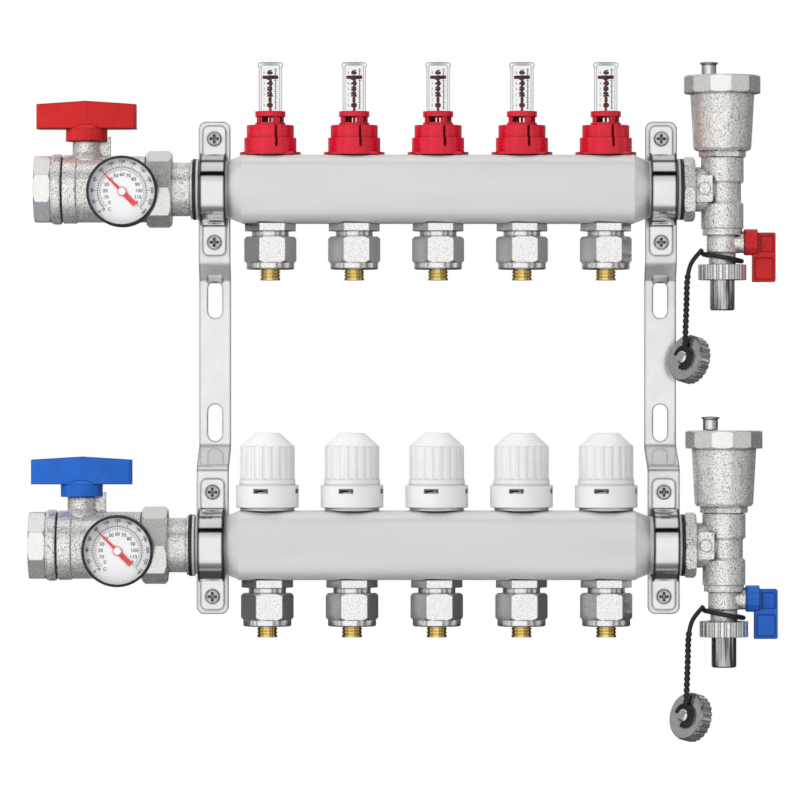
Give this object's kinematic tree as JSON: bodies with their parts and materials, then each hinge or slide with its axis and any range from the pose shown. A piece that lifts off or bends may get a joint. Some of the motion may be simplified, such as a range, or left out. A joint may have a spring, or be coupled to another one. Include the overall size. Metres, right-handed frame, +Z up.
{
  "type": "underfloor heating manifold",
  "caption": "Two-bar underfloor heating manifold on stepped brackets, with valves, thermometers, flow meters, caps, vents and drains.",
  "frame": {"origin": "on the wall face of the left bracket, midway between its two fixing slots", "axes": "+X right along the bars, +Y into the wall, +Z up"},
  "size_m": [0.4422, 0.0985, 0.4036],
  "materials": {
    "stainless": "satin ground stainless",
    "zinc": "bright zinc plated sheet",
    "nickel": "sand-blasted nickel plate on brass",
    "brass": "turned brass",
    "red_plastic": "crimson moulded plastic",
    "red_handle": "red coated handle",
    "blue_handle": "blue coated handle",
    "white_plastic": "white moulded plastic",
    "clear": "clear plastic",
    "rubber": "black rubber",
    "black_plastic": "black plastic",
    "dial": "white dial"
  },
  "bodies": {
    "frame": {"left_bracket": "zinc", "right_bracket": "zinc", "pipe_clamps": "zinc", "clamp_liners": "rubber", "clamp_screws": "zinc", "supply_bar": "stainless", "return_bar": "stainless", "loop_nipples": "nickel", "compression_nuts": "nickel", "split_rings": "brass", "pipe_inserts": "brass", "flow_meter_bases": "brass", "flow_meter_tubes": "clear", "balancing_inserts": "nickel", "seals": "rubber", "supply_valve_body": "nickel", "return_valve_body": "nickel", "valve_inlet_ends": "nickel", "union_nuts": "nickel", "valve_tailpieces": "nickel", "gauge_cases": "black_plastic", "gauge_dials": "dial", "gauge_lenses": "clear", "end_tees": "nickel", "vent_bodies": "nickel", "vent_lids": "nickel", "drain_bodies": "nickel", "hose_nuts": "nickel", "hose_tails": "nickel", "supply_strap": "rubber", "return_strap": "rubber", "strap_rings": "rubber", "drain_caps": "nickel"},
    "flow_wheel_1": {"flow_meter_wheel_1": "red_plastic"},
    "flow_disc_1": {"flow_indicator_1": "red_plastic"},
    "white_cap_1": {"return_cap_1": "white_plastic"},
    "flow_wheel_2": {"flow_meter_wheel_2": "red_plastic"},
    "flow_disc_2": {"flow_indicator_2": "red_plastic"},
    "white_cap_2": {"return_cap_2": "white_plastic"},
    "flow_wheel_3": {"flow_meter_wheel_3": "red_plastic"},
    "flow_disc_3": {"flow_indicator_3": "red_plastic"},
    "white_cap_3": {"return_cap_3": "white_plastic"},
    "flow_wheel_4": {"flow_meter_wheel_4": "red_plastic"},
    "flow_disc_4": {"flow_indicator_4": "red_plastic"},
    "white_cap_4": {"return_cap_4": "white_plastic"},
    "flow_wheel_5": {"flow_meter_wheel_5": "red_plastic"},
    "flow_disc_5": {"flow_indicator_5": "red_plastic"},
    "white_cap_5": {"return_cap_5": "white_plastic"},
    "supply_valve": {"supply_valve_handle": "red_handle", "supply_ball_and_stem": "nickel"},
    "supply_drain": {"supply_drain_lever": "red_handle", "supply_drain_spindle": "nickel"},
    "supply_needle": {"supply_gauge_needle": "red_plastic"},
    "supply_vent_screw": {"supply_vent_cap": "zinc"},
    "return_valve": {"return_valve_handle": "blue_handle", "return_ball_and_stem": "nickel"},
    "return_drain": {"return_drain_lever": "blue_handle", "return_drain_spindle": "nickel"},
    "return_needle": {"return_gauge_needle": "red_plastic"},
    "return_vent_screw": {"return_vent_cap": "zinc"}
  },
  "joints": [
    {"name": "flow_wheel_1_turn", "type": "hinge", "parent": "frame", "child": "flow_wheel_1", "pos_m": [0.034, -0.032, 0.13225], "axis": [0, 0, 1], "range_deg": [-540, 540]},
    {"name": "flow_disc_1_slide", "type": "slide", "parent": "frame", "child": "flow_disc_1", "axis": [0, 0, 1], "range_m": [-0.02, 0], "stiffness_N_per_m": 5, "springref_m": 0.005},
    {"name": "white_cap_1_turn", "type": "hinge", "parent": "frame", "child": "white_cap_1", "pos_m": [0.033, -0.062, -0.069], "axis": [0, 0, 1], "range_deg": [-540, 540]},
    {"name": "flow_wheel_2_turn", "type": "hinge", "parent": "frame", "child": "flow_wheel_2", "pos_m": [0.084, -0.032, 0.13225], "axis": [0, 0, 1], "range_deg": [-540, 540]},
    {"name": "flow_disc_2_slide", "type": "slide", "parent": "frame", "child": "flow_disc_2", "axis": [0, 0, 1], "range_m": [-0.02, 0], "stiffness_N_per_m": 5, "springref_m": 0.005},
    {"name": "white_cap_2_turn", "type": "hinge", "parent": "frame", "child": "white_cap_2", "pos_m": [0.083, -0.062, -0.069], "axis": [0, 0, 1], "range_deg": [-540, 540]},
    {"name": "flow_wheel_3_turn", "type": "hinge", "parent": "frame", "child": "flow_wheel_3", "pos_m": [0.134, -0.032, 0.13225], "axis": [0, 0, 1], "range_deg": [-540, 540]},
    {"name": "flow_disc_3_slide", "type": "slide", "parent": "frame", "child": "flow_disc_3", "axis": [0, 0, 1], "range_m": [-0.02, 0], "stiffness_N_per_m": 5, "springref_m": 0.005},
    {"name": "white_cap_3_turn", "type": "hinge", "parent": "frame", "child": "white_cap_3", "pos_m": [0.133, -0.062, -0.069], "axis": [0, 0, 1], "range_deg": [-540, 540]},
    {"name": "flow_wheel_4_turn", "type": "hinge", "parent": "frame", "child": "flow_wheel_4", "pos_m": [0.184, -0.032, 0.13225], "axis": [0, 0, 1], "range_deg": [-540, 540]},
    {"name": "flow_disc_4_slide", "type": "slide", "parent": "frame", "child": "flow_disc_4", "axis": [0, 0, 1], "range_m": [-0.02, 0], "stiffness_N_per_m": 5, "springref_m": 0.005},
    {"name": "white_cap_4_turn", "type": "hinge", "parent": "frame", "child": "white_cap_4", "pos_m": [0.183, -0.062, -0.069], "axis": [0, 0, 1], "range_deg": [-540, 540]},
    {"name": "flow_wheel_5_turn", "type": "hinge", "parent": "frame", "child": "flow_wheel_5", "pos_m": [0.234, -0.032, 0.13225], "axis": [0, 0, 1], "range_deg": [-540, 540]},
    {"name": "flow_disc_5_slide", "type": "slide", "parent": "frame", "child": "flow_disc_5", "axis": [0, 0, 1], "range_m": [-0.02, 0], "stiffness_N_per_m": 5, "springref_m": 0.005},
    {"name": "white_cap_5_turn", "type": "hinge", "parent": "frame", "child": "white_cap_5", "pos_m": [0.233, -0.062, -0.069], "axis": [0, 0, 1], "range_deg": [-540, 540]},
    {"name": "supply_valve_turn", "type": "hinge", "parent": "frame", "child": "supply_valve", "pos_m": [-0.0755, -0.032, 0.10225], "axis": [0, 0, 1], "range_deg": [0, 90]},
    {"name": "supply_drain_turn", "type": "hinge", "parent": "frame", "child": "supply_drain", "pos_m": [0.3035, -0.032, 0.07075], "axis": [1, 0, 0], "range_deg": [-90, 0]},
    {"name": "supply_needle_turn", "type": "hinge", "parent": "frame", "child": "supply_needle", "pos_m": [-0.0527, -0.064, 0.09975], "axis": [0, 1, 0], "range_deg": [-90, 180]},
    {"name": "supply_vent_screw_turn", "type": "hinge", "parent": "frame", "child": "supply_vent_screw", "pos_m": [0.2955, -0.032, 0.17525], "axis": [0, 0, 1], "range_deg": [-540, 0]},
    {"name": "return_valve_turn", "type": "hinge", "parent": "frame", "child": "return_valve", "pos_m": [-0.0765, -0.062, -0.109], "axis": [0, 0, 1], "range_deg": [0, 90]},
    {"name": "return_drain_turn", "type": "hinge", "parent": "frame", "child": "return_drain", "pos_m": [0.3025, -0.062, -0.1405], "axis": [1, 0, 0], "range_deg": [-90, 0]},
    {"name": "return_needle_turn", "type": "hinge", "parent": "frame", "child": "return_needle", "pos_m": [-0.0537, -0.094, -0.1115], "axis": [0, 1, 0], "range_deg": [-90, 180]},
    {"name": "return_vent_screw_turn", "type": "hinge", "parent": "frame", "child": "return_vent_screw", "pos_m": [0.2945, -0.062, -0.036], "axis": [0, 0, 1], "range_deg": [-540, 0]}
  ]
}
